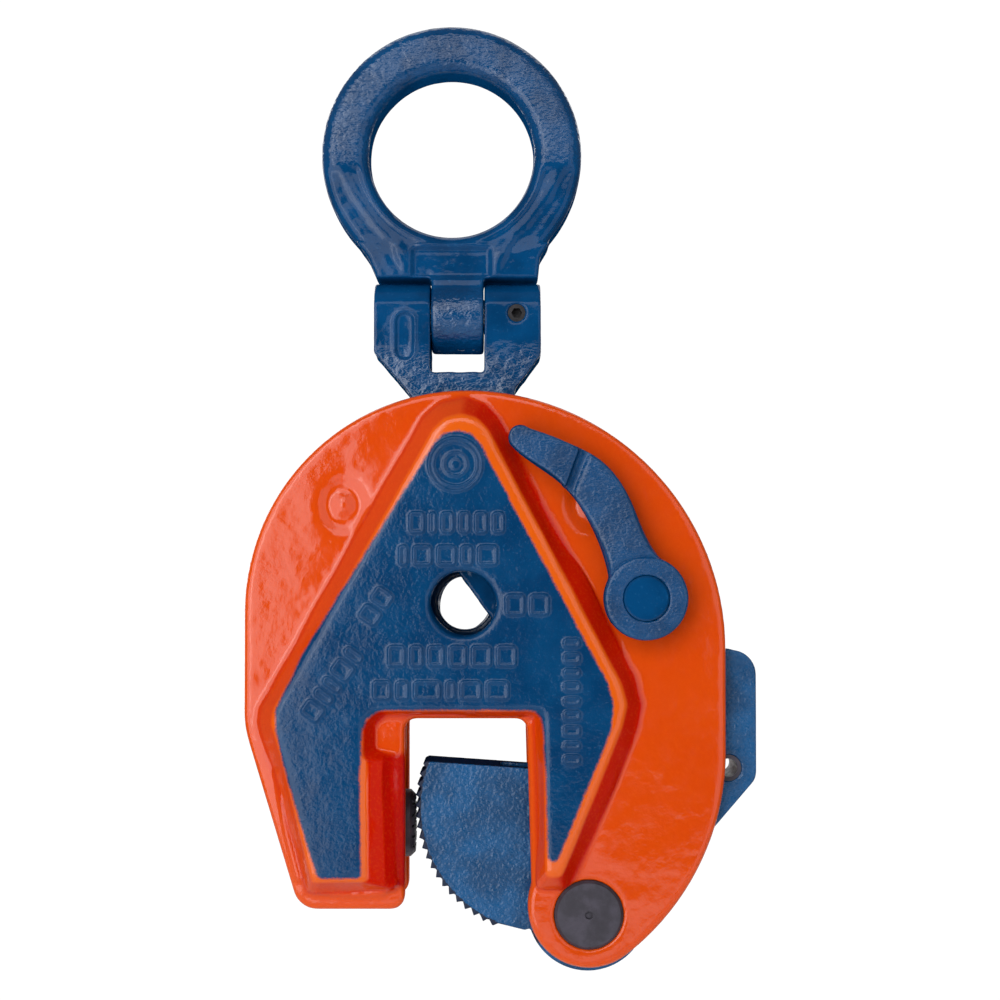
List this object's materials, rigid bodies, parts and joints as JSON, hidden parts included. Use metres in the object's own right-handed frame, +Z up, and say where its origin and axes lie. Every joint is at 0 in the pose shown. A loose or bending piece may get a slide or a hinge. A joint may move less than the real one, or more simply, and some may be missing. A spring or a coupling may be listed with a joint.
{
  "type": "vertical plate lifting clamp",
  "caption": "Forged plate lifting clamp with a hinged eye, an orange housing with a jaw slot, a toothed blue cam, a swivelling jaw pad and a lock lever.",
  "frame": {"origin": "centre of the lifting eye", "axes": "+Z up along the pull of the hook, +X across the jaw from the fixed pad to the cam, -Y the front face with the lever"},
  "size_m": [0.1158, 0.038, 0.2167],
  "materials": {
    "orange_paint": "glossy powder coat on forged steel",
    "blue_paint": "semi-gloss textured coat on forged steel",
    "cam_paint": "semi-gloss hammered coat on hardened steel",
    "dark_oxide_steel": "black oxide",
    "machined_steel": "turned",
    "spring_steel": "drawn wire",
    "bronze": "turned bush",
    "seal_rubber": "matt"
  },
  "bodies": {
    "eye": {"eye": "blue_paint"},
    "shackle": {"shackle": "blue_paint", "hinge_pin": "machined_steel", "hinge_lock_pin": "dark_oxide_steel", "link_pin_upper": "machined_steel"},
    "housing": {"front_plate": "orange_paint", "back_plate": "orange_paint", "rim_bands": "orange_paint", "spacer_studs": "machined_steel", "spring_post": "machined_steel", "jaw_block": "orange_paint", "pad_pin": "dark_oxide_steel", "pad_ring": "seal_rubber", "cam_pin": "dark_oxide_steel", "cam_pin_cap": "dark_oxide_steel", "cam_washers": "machined_steel", "lever_bush": "bronze", "tension_spring": "spring_steel"},
    "pad": {"jaw_pad": "dark_oxide_steel"},
    "cam": {"cam": "cam_paint", "cam_bushes": "bronze", "tail_pin": "dark_oxide_steel", "link_pin_lower": "machined_steel"},
    "link": {"link": "dark_oxide_steel"},
    "lever": {"lever": "blue_paint", "lever_shaft": "blue_paint", "lever_washer": "machined_steel", "lock_dog": "dark_oxide_steel", "lever_pin": "dark_oxide_steel"}
  },
  "joints": [
    {"name": "eye_hinge", "type": "hinge", "parent": "eye", "child": "shackle", "pos_m": [0.0014, 0, -0.037], "axis": [1, 0, 0], "range_deg": [-85, 85]},
    {"name": "body_slide", "type": "slide", "parent": "shackle", "child": "housing", "axis": [0, 0, 1], "range_m": [0, 0.0117], "stiffness_N_per_m": 300, "springref_m": -0.01},
    {"name": "cam_swing", "type": "hinge", "parent": "housing", "child": "cam", "pos_m": [0.03105, 0, -0.1731], "axis": [0, 1, 0], "range_deg": [0, 46], "deforming": ["tension_spring"]},
    {"name": "link_swing", "type": "hinge", "parent": "shackle", "child": "link", "pos_m": [0.027, 0, -0.1], "axis": [0, 1, 0], "range_deg": [-2.25, 0]},
    {"name": "lever_turn", "type": "hinge", "parent": "housing", "child": "lever", "pos_m": [0.0435, 0, -0.1023], "axis": [0, 1, 0], "range_deg": [0, 90]},
    {"name": "pad_spin", "type": "hinge", "parent": "housing", "child": "pad", "pos_m": [-0.0123, 0, -0.1541], "axis": [1, 0, 0], "continuous": true}
  ],
  "couplings": [
    {"joint": "cam_swing", "follows": "body_slide", "rad_per_m": 68.6},
    {"joint": "link_swing", "follows": "body_slide", "rad_per_m": -3.356}
  ]
}
